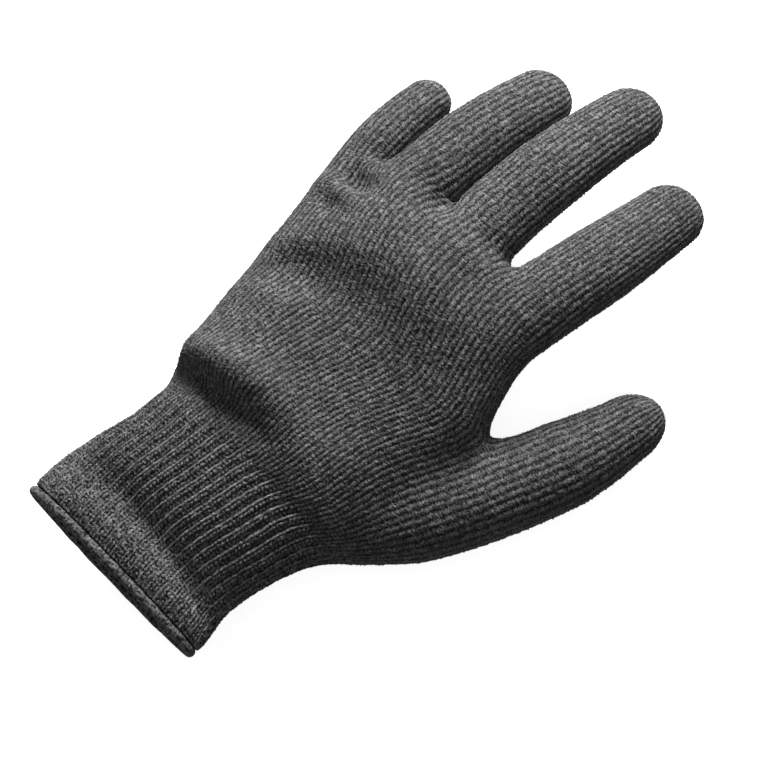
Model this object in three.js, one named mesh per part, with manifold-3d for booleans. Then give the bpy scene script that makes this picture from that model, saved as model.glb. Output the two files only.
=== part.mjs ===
import * as THREE from 'three';
import Module from 'manifold-3d';

// Knitted glove liner for a left hand, filled as it is when worn, back of the hand up.
// Origin at the centre of the wrist opening, +Y to the fingertips, +X to the thumb, +Z up.

// Main sizes in millimetres
const HEM_BREADTH = 77.5;
const HEM_DEPTH = 24;
const WRIST_BREADTH = 75;
const WRIST_DEPTH = 37;
const CUFF_LENGTH = 57;
const HAND_LENGTH = 108;
const HAND_BREADTH = 96;
const HAND_DEPTH = 42;
const FINGER_LENGTH = 87;
const THUMB_LENGTH = 129;
const THUMB_BREADTH = 32;
const KNIT_WALL = 1.6;
const PIECE_GAP = 0.3;

// Ribs and rolled edge of the cuff
const RIB_COUNT = 42;
const RIB_HEIGHT = 0.9;
const EDGE_HEIGHT = 4;
const EDGE_THICKNESS = 3.6;
const EDGE_POINT_COUNT = 56;
const EDGE_SIDE_COUNT = 8;

// Points round the other tubes
const HAND_POINT_COUNT = 48;
const FINGER_POINT_COUNT = 20;
const THUMB_POINT_COUNT = 24;
const CENTRE_LINE_STEPS = 24;

// How square the sections of the cuff and of the digits are, 2 for an ellipse
const CUFF_FULLNESS = 2.2;
const DIGIT_FULLNESS = 2.15;

// Least share of its length that a digit keeps between its end and the next section
const SECTION_SPACING = 0.03;

// Least share of its size that a thin section keeps when it is drawn in
const LEAST_INNER_SHARE = 0.3;
const INNER_ROUNDING = 0.9;

const DEGREE = Math.PI / 180;

// Cuff sections. along: share of the cuff length. blend: 0 takes the hem sizes, 1 the wrist
// sizes. swell: breadth against the blended size. middle: shift to the thumb side as a share
// of the breadth. top, bottom: heights as shares of the blended depth.
const CUFF_SECTIONS = [
  { along: 0.075, blend: 0.0, swell: 1.0, middle: 0.0, top: 0.47, bottom: 0.5 },
  { along: 0.18, blend: 0.12, swell: 0.995, middle: -0.008, top: 0.48, bottom: 0.51 },
  { along: 0.33, blend: 0.3, swell: 0.97, middle: -0.018, top: 0.44, bottom: 0.5 },
  { along: 0.5, blend: 0.55, swell: 0.967, middle: 0.0, top: 0.5, bottom: 0.5 },
  { along: 0.75, blend: 0.85, swell: 0.975, middle: 0.044, top: 0.51, bottom: 0.5 },
  { along: 1.0, blend: 1.0, swell: 1.0, middle: 0.058, top: 0.5, bottom: 0.5 },
];

// Hand sections, read the same way from the wrist sizes to the hand sizes.
// full: how square the section is, 2 for an ellipse.
const HAND_SECTIONS = [
  { along: 0.0, blend: 0.0, swell: 1.0, middle: 0.058, top: 0.5, bottom: 0.5, full: 2.2 },
  { along: 0.035, blend: 0.1, swell: 1.01, middle: 0.053, top: 0.6, bottom: 0.52, full: 2.3 },
  { along: 0.1, blend: 0.22, swell: 1.0, middle: 0.03, top: 0.63, bottom: 0.54, full: 2.4 },
  { along: 0.22, blend: 0.45, swell: 0.985, middle: 0.012, top: 0.58, bottom: 0.55, full: 2.5 },
  { along: 0.38, blend: 0.75, swell: 0.99, middle: 0.015, top: 0.53, bottom: 0.52, full: 2.5 },
  { along: 0.55, blend: 0.95, swell: 1.05, middle: 0.033, top: 0.48, bottom: 0.49, full: 2.5 },
  { along: 0.68, blend: 1.0, swell: 1.0, middle: -0.005, top: 0.46, bottom: 0.46, full: 2.5 },
  { along: 0.79, blend: 1.0, swell: 0.975, middle: -0.03, top: 0.45, bottom: 0.41, full: 2.5 },
  { along: 0.89, blend: 1.0, swell: 0.92, middle: -0.03, top: 0.42, bottom: 0.36, full: 2.4 },
  { along: 0.97, blend: 1.0, swell: 0.72, middle: 0.02, top: 0.34, bottom: 0.28, full: 2.3 },
  { along: 1.02, blend: 1.0, swell: 0.5, middle: 0.04, top: 0.22, bottom: 0.16, full: 2.2 },
];

// Swellings and dents on the back of the hand. across: share of the hand breadth.
// along: share of the hand length. rise: share of the hand depth. reach: share of the breadth.
const BACK_SWELLS = [
  { across: 0.31, along: 0.86, rise: 0.05, reach: 0.12 },
  { across: 0.02, along: 0.9, rise: 0.06, reach: 0.12 },
  { across: -0.24, along: 0.84, rise: 0.06, reach: 0.12 },
  { across: -0.42, along: 0.74, rise: 0.03, reach: 0.11 },
  { across: -0.2, along: 0.12, rise: 0.06, reach: 0.2 },
  { across: -0.3, along: 0.55, rise: -0.03, reach: 0.13 },
];

// Shape of a finger along its length past the root, negative inside the hand.
const FINGER_PROFILE = [
  { along: -0.3, breadth: 0.88, depth: 0.92 },
  { along: 0.0, breadth: 1.0, depth: 1.0 },
  { along: 0.22, breadth: 1.0, depth: 0.98 },
  { along: 0.42, breadth: 1.03, depth: 1.0 },
  { along: 0.62, breadth: 1.0, depth: 0.96 },
  { along: 0.8, breadth: 0.99, depth: 0.93 },
  { along: 0.89, breadth: 0.93, depth: 0.86 },
  { along: 0.95, breadth: 0.76, depth: 0.7 },
  { along: 0.985, breadth: 0.48, depth: 0.44 },
];

// Shape of the thumb from the wrist, with the ball of the thumb as its first part.
const THUMB_PROFILE = [
  { along: 0.0, breadth: 0.68, depth: 0.82 },
  { along: 0.13, breadth: 0.95, depth: 0.98 },
  { along: 0.28, breadth: 1.08, depth: 1.02 },
  { along: 0.46, breadth: 1.0, depth: 0.94 },
  { along: 0.58, breadth: 0.95, depth: 0.87 },
  { along: 0.7, breadth: 0.93, depth: 0.82 },
  { along: 0.8, breadth: 0.82, depth: 0.74 },
  { along: 0.88, breadth: 0.7, depth: 0.65 },
  { along: 0.94, breadth: 0.57, depth: 0.54 },
  { along: 0.985, breadth: 0.36, depth: 0.34 },
];

// Fingers. across, breadth: shares of the hand breadth. start: share of the hand length at
// the root. rise, depth: shares of the hand depth. length: share of the finger length.
// leave, land: heading from straight ahead towards the thumb, in degrees, at root and tip.
// lift, drop: slope above level, in degrees, at root and tip. split: share of the length
// where the finger tube takes over from its stub on the hand.
const FINGERS = [
  {
    name: 'little_finger', across: -0.453, start: 0.839, rise: -0.02, breadth: 0.191, depth: 0.43,
    length: 0.625, leave: -15, land: 4.5, lift: 0, drop: -20, taper: 0.07, split: 0.3,
  },
  {
    name: 'ring_finger', across: -0.262, start: 0.938, rise: 0.1, breadth: 0.252, depth: 0.5,
    length: 0.86, leave: -3, land: 10, lift: 2, drop: -24, taper: 0.12, split: 0.2,
  },
  {
    name: 'middle_finger', across: 0.018, start: 0.985, rise: 0.13, breadth: 0.276, depth: 0.54,
    length: 1.0, leave: -0.5, land: 7, lift: 4, drop: -22, taper: 0.15, split: 0.16,
  },
  {
    name: 'index_finger', across: 0.32, start: 0.932, rise: 0.1, breadth: 0.297, depth: 0.56,
    length: 0.908, leave: 12, land: -0.5, lift: 3, drop: -27, taper: 0.195, split: 0.24,
  },
];

const THUMB = {
  name: 'thumb', across: 0.314, start: 0.024, rise: -0.08, breadth: 1, depth: 0.94,
  leave: 43, land: 5, lift: -6, drop: -6, taper: 0, split: 0.6,
};

function mix(a, b, share) {
  return a + (b - a) * share;
}

// A value of a section table at any share of its length.
function read(table, along, column) {
  const last = table.length - 1;
  if (along <= table[0].along) {
    return table[0][column];
  }
  for (let i = 0; i < last; i += 1) {
    const from = table[i];
    const to = table[i + 1];
    if (along <= to.along) {
      const share = (along - from.along) / (to.along - from.along);
      return mix(from[column], to[column], share);
    }
  }
  return table[last][column];
}

// Closed outline of one section. The breadth runs along `across`, the height along `over`.
function outline(section, points) {
  const ring = [];
  for (let i = 0; i < points; i += 1) {
    const turn = (2 * Math.PI * i) / points;
    const power = 2 / section.full;
    const side = Math.sign(Math.cos(turn)) * Math.abs(Math.cos(turn)) ** power;
    const lift = Math.sign(Math.sin(turn)) * Math.abs(Math.sin(turn)) ** power;
    const height = lift > 0 ? section.top : section.bottom;
    const point = section.centre.clone();
    point.addScaledVector(section.across, side * section.half);
    point.addScaledVector(section.over, lift * height);
    ring.push(point);
  }
  return ring;
}

// Outward directions of an outline, within its own plane.
function outwards(ring, section) {
  const along = new THREE.Vector3().crossVectors(section.over, section.across);
  return ring.map((point, i) => {
    const before = ring[(i + ring.length - 1) % ring.length];
    const after = ring[(i + 1) % ring.length];
    const step = new THREE.Vector3().subVectors(after, before);
    return along.clone().cross(step).normalize();
  });
}

// Vertices and triangles gathered for one closed solid.
class Surface {
  constructor() {
    this.points = [];
    this.faces = [];
  }

  addRing(ring) {
    const first = this.points.length;
    ring.forEach((point) => this.points.push(point));
    return { first, count: ring.length };
  }

  // Skin between two rings, facing outwards when `to` lies further along the tube.
  skin(from, to) {
    for (let i = 0; i < from.count; i += 1) {
      const next = (i + 1) % from.count;
      const a = from.first + i;
      const b = from.first + next;
      const c = to.first + next;
      const d = to.first + i;
      this.faces.push([a, d, c], [a, c, b]);
    }
  }

  // Fan from one point over a ring.
  cap(ring, tip, facesForward) {
    const centre = this.points.length;
    this.points.push(tip);
    for (let i = 0; i < ring.count; i += 1) {
      const a = ring.first + i;
      const b = ring.first + ((i + 1) % ring.count);
      this.faces.push(facesForward ? [centre, b, a] : [centre, a, b]);
    }
  }

  geometry() {
    const geometry = new THREE.BufferGeometry();
    const flat = this.points.flatMap((point) => [point.x, point.y, point.z]);
    geometry.setAttribute('position', new THREE.Float32BufferAttribute(flat, 3));
    geometry.setIndex(this.faces.flat());
    return geometry;
  }
}

function middleOf(ring) {
  const sum = new THREE.Vector3();
  ring.forEach((point) => sum.add(point));
  return sum.divideScalar(ring.length);
}

// Solid body through a row of rings, closed with a fan at both ends.
function solidThrough(rings) {
  const surface = new Surface();
  const loops = rings.map((ring) => surface.addRing(ring));
  for (let k = 0; k + 1 < loops.length; k += 1) {
    surface.skin(loops[k], loops[k + 1]);
  }
  surface.cap(loops[0], middleOf(rings[0]), false);
  surface.cap(loops[loops.length - 1], middleOf(rings[rings.length - 1]), true);
  return surface;
}

// Hollow tube between outer and inner rings. With tips it is closed at its far end.
function hollowTube(outer, inner, tips) {
  const surface = new Surface();
  const outside = outer.map((ring) => surface.addRing(ring));
  const inside = inner.map((ring) => surface.addRing(ring));
  for (let k = 0; k + 1 < outside.length; k += 1) {
    surface.skin(outside[k], outside[k + 1]);
  }
  for (let k = 0; k + 1 < inside.length; k += 1) {
    surface.skin(inside[k + 1], inside[k]);
  }
  surface.skin(inside[0], outside[0]);
  if (tips) {
    surface.cap(outside[outside.length - 1], tips.outer, true);
    surface.cap(inside[inside.length - 1], tips.inner, false);
  } else {
    surface.skin(outside[outside.length - 1], inside[inside.length - 1]);
  }
  return surface;
}

const LEVEL_ACROSS = new THREE.Vector3(1, 0, 0);
const LEVEL_OVER = new THREE.Vector3(0, 0, 1);

// Section of the cuff at a share of its length, in a plane square to +Y.
function cuffSection(along) {
  const blend = read(CUFF_SECTIONS, along, 'blend');
  const breadth = mix(HEM_BREADTH, WRIST_BREADTH, blend);
  const depth = mix(HEM_DEPTH, WRIST_DEPTH, blend);
  const shift = read(CUFF_SECTIONS, along, 'middle') * breadth;
  return {
    centre: new THREE.Vector3(shift, along * CUFF_LENGTH, 0),
    across: LEVEL_ACROSS,
    over: LEVEL_OVER,
    half: (breadth / 2) * read(CUFF_SECTIONS, along, 'swell'),
    top: depth * read(CUFF_SECTIONS, along, 'top'),
    bottom: depth * read(CUFF_SECTIONS, along, 'bottom'),
    full: CUFF_FULLNESS,
  };
}

// Outline moved along its outward directions. Every second point can lie lower, as a groove.
function moved(ring, directions, offset, groove) {
  return ring.map((point, i) => {
    const distance = i % 2 === 0 ? offset : offset - groove;
    return point.clone().addScaledVector(directions[i], distance);
  });
}

function ribCuff() {
  const outer = [];
  const inner = [];
  CUFF_SECTIONS.forEach((row) => {
    const section = cuffSection(row.along);
    const ring = outline(section, RIB_COUNT * 2);
    const directions = outwards(ring, section);
    outer.push(moved(ring, directions, 0, RIB_HEIGHT));
    inner.push(moved(ring, directions, -KNIT_WALL, RIB_HEIGHT));
  });
  return hollowTube(outer, inner, null);
}

// Rolled edge: a round bead run along the middle of the cuff wall at the hem.
function cuffEdge() {
  const section = cuffSection(CUFF_SECTIONS[0].along);
  section.centre.y = 0;
  const ring = outline(section, EDGE_POINT_COUNT);
  const directions = outwards(ring, section);
  const rest = CUFF_SECTIONS[0].along * CUFF_LENGTH - PIECE_GAP;
  const height = Math.min(EDGE_HEIGHT, rest);
  const surface = new Surface();
  const loops = [];
  for (let k = 0; k < EDGE_SIDE_COUNT; k += 1) {
    const turn = (2 * Math.PI * k) / EDGE_SIDE_COUNT;
    const offset = (EDGE_THICKNESS / 2) * Math.sin(turn) - KNIT_WALL / 2;
    const beyond = rest - (height / 2) * (1 + Math.cos(turn));
    const loop = moved(ring, directions, offset, 0);
    loop.forEach((point) => point.setY(beyond));
    loops.push(surface.addRing(loop));
  }
  for (let k = 0; k < EDGE_SIDE_COUNT; k += 1) {
    surface.skin(loops[k], loops[(k + 1) % EDGE_SIDE_COUNT]);
  }
  return surface;
}

// Height added to the back of the hand at one place.
function backSwell(x, y) {
  let rise = 0;
  BACK_SWELLS.forEach((swell) => {
    const dx = (x - swell.across * HAND_BREADTH) / (swell.reach * HAND_BREADTH);
    const dy = (y - CUFF_LENGTH - swell.along * HAND_LENGTH) / (swell.reach * HAND_BREADTH);
    rise += swell.rise * HAND_DEPTH * Math.exp(-(dx * dx + dy * dy));
  });
  return rise;
}

// Section of the hand at a share of its length, drawn in by `inset` on every side.
function handSection(along, inset) {
  const blend = read(HAND_SECTIONS, along, 'blend');
  const breadth = mix(WRIST_BREADTH, HAND_BREADTH, blend);
  const depth = mix(WRIST_DEPTH, HAND_DEPTH, blend);
  const shift = read(HAND_SECTIONS, along, 'middle') * breadth;
  return {
    centre: new THREE.Vector3(shift, CUFF_LENGTH + along * HAND_LENGTH, 0),
    across: LEVEL_ACROSS,
    over: LEVEL_OVER,
    half: (breadth / 2) * read(HAND_SECTIONS, along, 'swell') - inset,
    top: depth * read(HAND_SECTIONS, along, 'top') - inset,
    bottom: depth * read(HAND_SECTIONS, along, 'bottom') - inset,
    full: read(HAND_SECTIONS, along, 'full'),
  };
}

// Palm and back of the hand as a solid. The inner one reaches out of the wrist end.
function handSolid(inset) {
  const rings = HAND_SECTIONS.map((row, k) => {
    const ring = outline(handSection(row.along, inset), HAND_POINT_COUNT);
    ring.forEach((point) => {
      const share = Math.max(0, point.z / HAND_DEPTH) * 2;
      const rise = k > 0 ? backSwell(point.x, point.y) * Math.min(1, share) : 0;
      point.z += rise;
    });
    return ring;
  });
  const start = inset > 0 ? CUFF_LENGTH - PIECE_GAP : CUFF_LENGTH + PIECE_GAP;
  rings[0].forEach((point) => point.setY(start));
  rings[rings.length - 1].forEach((point) => point.setY(point.y - inset));
  return solidThrough(rings);
}

// Sizes and place of one finger or of the thumb.
function digitFrame(digit) {
  const isThumb = digit === THUMB;
  const depth = isThumb ? THUMB_BREADTH : HAND_DEPTH;
  return {
    profile: isThumb ? THUMB_PROFILE : FINGER_PROFILE,
    root: new THREE.Vector3(
      digit.across * HAND_BREADTH,
      CUFF_LENGTH + digit.start * HAND_LENGTH,
      digit.rise * depth,
    ),
    length: isThumb ? THUMB_LENGTH : digit.length * FINGER_LENGTH,
    half: (isThumb ? THUMB_BREADTH : digit.breadth * HAND_BREADTH) / 2,
    high: (digit.depth * depth) / 2,
  };
}

// Point and directions of a digit's centre line, found by short steps from its root.
function centreLine(digit, frame, distance) {
  const point = frame.root.clone();
  const forward = new THREE.Vector3();
  const stride = distance / CENTRE_LINE_STEPS;
  for (let i = 0; i <= CENTRE_LINE_STEPS; i += 1) {
    const share = Math.max(0, ((i - 0.5) * stride) / frame.length);
    const heading = mix(digit.leave, digit.land, share) * DEGREE;
    const slope = mix(digit.lift, digit.drop, share) * DEGREE;
    forward.set(
      Math.sin(heading) * Math.cos(slope),
      Math.cos(heading) * Math.cos(slope),
      Math.sin(slope),
    );
    if (i > 0) {
      point.addScaledVector(forward, stride);
    }
  }
  const level = Math.atan2(forward.x, forward.y);
  const across = new THREE.Vector3(Math.cos(level), -Math.sin(level), 0);
  const over = new THREE.Vector3().crossVectors(across, forward);
  return { point, across, over };
}

// Section of a digit at a share of its length, drawn in by `inset` on every side.
function digitSection(digit, along, inset) {
  const frame = digitFrame(digit);
  const towardsTip = Math.max(0, (along - digit.split) / (1 - digit.split));
  const line = centreLine(digit, frame, along * frame.length - inset * towardsTip);
  const narrowing = 1 - digit.taper * Math.max(0, along);
  const half = frame.half * read(frame.profile, along, 'breadth') * narrowing;
  const high = frame.high * read(frame.profile, along, 'depth') * narrowing;
  const tight = Math.max(LEAST_INNER_SHARE, 1 - inset / Math.min(half, high)) * INNER_ROUNDING;
  return {
    centre: line.point,
    across: line.across,
    over: line.over,
    half: Math.max(half - inset, half * tight),
    top: Math.max(high - inset, high * tight),
    bottom: Math.max(high - inset, high * tight),
    full: DIGIT_FULLNESS,
  };
}

function digitPoints(digit) {
  return digit === THUMB ? THUMB_POINT_COUNT : FINGER_POINT_COUNT;
}

// Stub of a digit inside and just past the hand, ending `past` beyond its split.
function stubSolid(digit, inset, past) {
  const frame = digitFrame(digit);
  const end = digit.split + past / frame.length;
  const rows = frame.profile
    .map((row) => row.along)
    .filter((along) => along < end - SECTION_SPACING);
  rows.push(end);
  const first = rows[0];
  const rings = rows.map((along) => {
    const ring = outline(digitSection(digit, along, inset), digitPoints(digit));
    const step = along === first ? inset : 0;
    const wrist = CUFF_LENGTH + KNIT_WALL * 2 + step;
    ring.forEach((point) => point.setY(Math.max(point.y + step, wrist)));
    return ring;
  });
  return solidThrough(rings);
}

// Tube of a digit from its split to its closed tip.
function digitTube(digit) {
  const frame = digitFrame(digit);
  const start = digit.split + PIECE_GAP / frame.length;
  const rows = frame.profile
    .map((row) => row.along)
    .filter((along) => along > start + SECTION_SPACING);
  rows.unshift(start);
  const points = digitPoints(digit);
  const outer = rows.map((along) => outline(digitSection(digit, along, 0), points));
  const inner = rows.map((along) => outline(digitSection(digit, along, KNIT_WALL), points));
  const tips = {
    outer: centreLine(digit, frame, frame.length).point,
    inner: centreLine(digit, frame, frame.length - KNIT_WALL).point,
  };
  return hollowTube(outer, inner, tips);
}

const wasm = await Module();
wasm.setup();

function toManifold(surface) {
  const vertProperties = new Float32Array(
    surface.points.flatMap((point) => [point.x, point.y, point.z]),
  );
  const triVerts = new Uint32Array(surface.faces.flat());
  return new wasm.Manifold(new wasm.Mesh({ numProp: 3, vertProperties, triVerts }));
}

function toGeometry(manifold) {
  const mesh = manifold.getMesh();
  const geometry = new THREE.BufferGeometry();
  const flat = new Float32Array(mesh.numVert * 3);
  for (let i = 0; i < mesh.numVert; i += 1) {
    for (let axis = 0; axis < 3; axis += 1) {
      flat[i * 3 + axis] = mesh.vertProperties[i * mesh.numProp + axis];
    }
  }
  geometry.setAttribute('position', new THREE.BufferAttribute(flat, 3));
  geometry.setIndex(Array.from(mesh.triVerts));
  return geometry;
}

// The hand with a stub for every digit, hollow throughout.
function handBody() {
  const digits = [...FINGERS, THUMB];
  let outside = toManifold(handSolid(0));
  let inside = toManifold(handSolid(KNIT_WALL));
  digits.forEach((digit) => {
    outside = outside.add(toManifold(stubSolid(digit, 0, 0)));
    inside = inside.add(toManifold(stubSolid(digit, KNIT_WALL, KNIT_WALL)));
  });
  return toGeometry(outside.subtract(inside));
}

const glove = new THREE.Group();
glove.name = 'glove_liner';

function addPiece(name, geometry, colour, roughness) {
  geometry.computeVertexNormals();
  const material = new THREE.MeshStandardMaterial({ color: colour, roughness, metalness: 0 });
  material.name = name;
  const mesh = new THREE.Mesh(geometry, material);
  mesh.name = name;
  glove.add(mesh);
}

addPiece('cuff_edge', cuffEdge().geometry(), '#4a4948', 0.92);
addPiece('rib_cuff', ribCuff().geometry(), '#3d3c3c', 0.95);
addPiece('hand_body', handBody(), '#3f3e3e', 0.95);
FINGERS.forEach((finger) => {
  addPiece(finger.name, digitTube(finger).geometry(), '#403f3f', 0.95);
});
addPiece('thumb', digitTube(THUMB).geometry(), '#403f3f', 0.95);

export default glove;
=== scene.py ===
import math

import bpy
import numpy as np
from mathutils import Matrix, Vector


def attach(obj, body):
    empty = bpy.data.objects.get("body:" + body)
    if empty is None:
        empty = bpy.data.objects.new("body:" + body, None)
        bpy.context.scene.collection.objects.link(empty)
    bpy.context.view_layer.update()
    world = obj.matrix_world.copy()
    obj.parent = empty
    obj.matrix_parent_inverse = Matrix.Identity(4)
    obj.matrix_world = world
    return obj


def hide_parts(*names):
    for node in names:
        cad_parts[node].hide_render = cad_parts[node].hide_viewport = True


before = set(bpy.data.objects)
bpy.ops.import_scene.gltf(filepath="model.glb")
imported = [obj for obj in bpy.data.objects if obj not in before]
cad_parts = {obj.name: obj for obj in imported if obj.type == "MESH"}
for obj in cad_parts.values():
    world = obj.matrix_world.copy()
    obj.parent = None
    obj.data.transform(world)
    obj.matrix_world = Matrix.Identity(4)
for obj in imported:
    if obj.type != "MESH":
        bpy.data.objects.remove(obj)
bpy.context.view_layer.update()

MM = 0.001

# Sizes of the glove in millimetres, the same as the solid model's.
HEM_BREADTH, HEM_DEPTH = 77.5, 24.0
WRIST_BREADTH, WRIST_DEPTH = 75.0, 37.0
CUFF_LENGTH, HAND_LENGTH = 57.0, 108.0
HAND_BREADTH, HAND_DEPTH = 96.0, 42.0
FINGER_LENGTH, THUMB_LENGTH, THUMB_BREADTH = 87.0, 129.0, 32.0
EDGE_HEIGHT, EDGE_THICKNESS = 4.0, 3.6

# Sections. along: share of the length. blend: share from the first breadth and depth to the last.
# swell: times the half breadth. middle: share of the breadth towards the thumb. top, bottom: shares
# of the depth above and below. full: 2 for an ellipse, more for a fuller outline.
CUFF_ROWS = [
    (0.0, 0.0, 1.0, 0.0, 0.47, 0.5, 2.2),
    (0.075, 0.0, 1.0, 0.0, 0.47, 0.5, 2.2),
    (0.18, 0.12, 0.995, -0.008, 0.48, 0.51, 2.2),
    (0.33, 0.3, 0.97, -0.018, 0.44, 0.5, 2.2),
    (0.5, 0.55, 0.967, 0.0, 0.5, 0.5, 2.2),
    (0.75, 0.85, 0.975, 0.044, 0.51, 0.5, 2.2),
    (0.97, 1.0, 1.0, 0.058, 0.5, 0.5, 2.2),
]
HAND_ROWS = [
    (0.0, 0.0, 1.0, 0.058, 0.5, 0.5, 2.2),
    (0.035, 0.1, 1.01, 0.053, 0.56, 0.52, 2.3),
    (0.1, 0.22, 1.0, 0.03, 0.61, 0.54, 2.35),
    (0.22, 0.45, 0.985, 0.012, 0.58, 0.55, 2.35),
    (0.38, 0.75, 0.99, 0.015, 0.53, 0.52, 2.35),
    (0.55, 0.95, 1.03, 0.022, 0.48, 0.49, 2.35),
    (0.68, 1.0, 1.0, -0.005, 0.46, 0.46, 2.35),
    (0.79, 1.0, 0.975, -0.03, 0.45, 0.41, 2.35),
    (0.89, 1.0, 0.92, -0.03, 0.42, 0.36, 2.3),
]
# Swells of the back. across, reach: shares of the hand breadth. along: share of the hand length.
# rise: share of the hand depth.
BACK_SWELLS = [
    (0.31, 0.86, 0.05, 0.12),
    (0.02, 0.9, 0.06, 0.12),
    (-0.24, 0.84, 0.06, 0.12),
    (-0.42, 0.74, 0.03, 0.11),
    (-0.2, 0.12, 0.06, 0.2),
    (-0.3, 0.55, -0.03, 0.13),
]
# Shapes of the digits: share of the length, and times the breadth and the depth.
FINGER_SHAPE = [
    (-0.3, 0.88, 0.92),
    (0.0, 1.0, 1.0),
    (0.22, 1.0, 0.98),
    (0.42, 1.03, 1.0),
    (0.62, 1.0, 0.96),
    (0.85, 0.97, 0.92),
]
THUMB_SHAPE = [
    (0.0, 0.68, 0.82),
    (0.13, 0.95, 0.98),
    (0.28, 1.08, 1.02),
    (0.46, 1.0, 0.94),
    (0.58, 0.95, 0.87),
    (0.7, 0.93, 0.82),
    (0.8, 0.82, 0.74),
    (0.88, 0.71, 0.66),
]
# Digits. across, breadth: shares of the hand breadth. start: share of the hand length at the root.
# rise, depth: shares of the hand depth. length: share of the finger length. leave, land: heading
# towards the thumb in degrees, at root and tip. lift, drop: slope in degrees, at root and tip.
# taper: share of the breadth lost at the tip. The thumb has lengths of its own.
DIGITS = {
    "little": (-0.453, 0.839, -0.02, 0.191, 0.41, 0.625, -15, 4.5, 0, -20, 0.07),
    "ring": (-0.26, 0.938, 0.11, 0.268, 0.46, 0.86, -3, 10.5, 2, -24, 0.12),
    "middle": (0.012, 0.985, 0.14, 0.286, 0.47, 1.0, -0.7, 7.2, 4, -22, 0.17),
    "index": (0.32, 0.932, 0.11, 0.297, 0.47, 0.908, 12, -0.5, 3, -27, 0.195),
    "thumb": (0.314, 0.024, -0.14, 1.0, 0.82, 1.0, 43, 5, -6, -6, 0.0),
}

# Stations along a digit's centre line, and lengths of the rounded ends inside the hand.
STATIONS = 41
ROOT_CAP, KNUCKLE_CAP = 8.0, 14.0
# The dome of a fingertip: share of a quarter turn that it covers, and its fullness across.
TIP_TURN, TIP_FULLNESS = 0.93, 0.55
# Least slope that a distance is divided by, as a share of one over the half size.
LEAST_SLOPE = 0.4
# Step between the sections of cuff and palm, and the steps each way over which they are smoothed.
TRUNK_STEP, TRUNK_SMOOTHING = 0.5, 12
# Height above the middle where a swell of the back has its full rise.
SWELL_START = 12.0


def mix(a, b, t):
    return a + (b - a) * t


def smooth(t):
    t = np.clip(t, 0.0, 1.0)
    return t * t * (3 - 2 * t)


def unit(vectors):
    """Vectors of length one, and the lengths they had."""
    size = np.linalg.norm(vectors, axis=1)
    return vectors / np.maximum(size, 1e-9)[:, None], size


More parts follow.
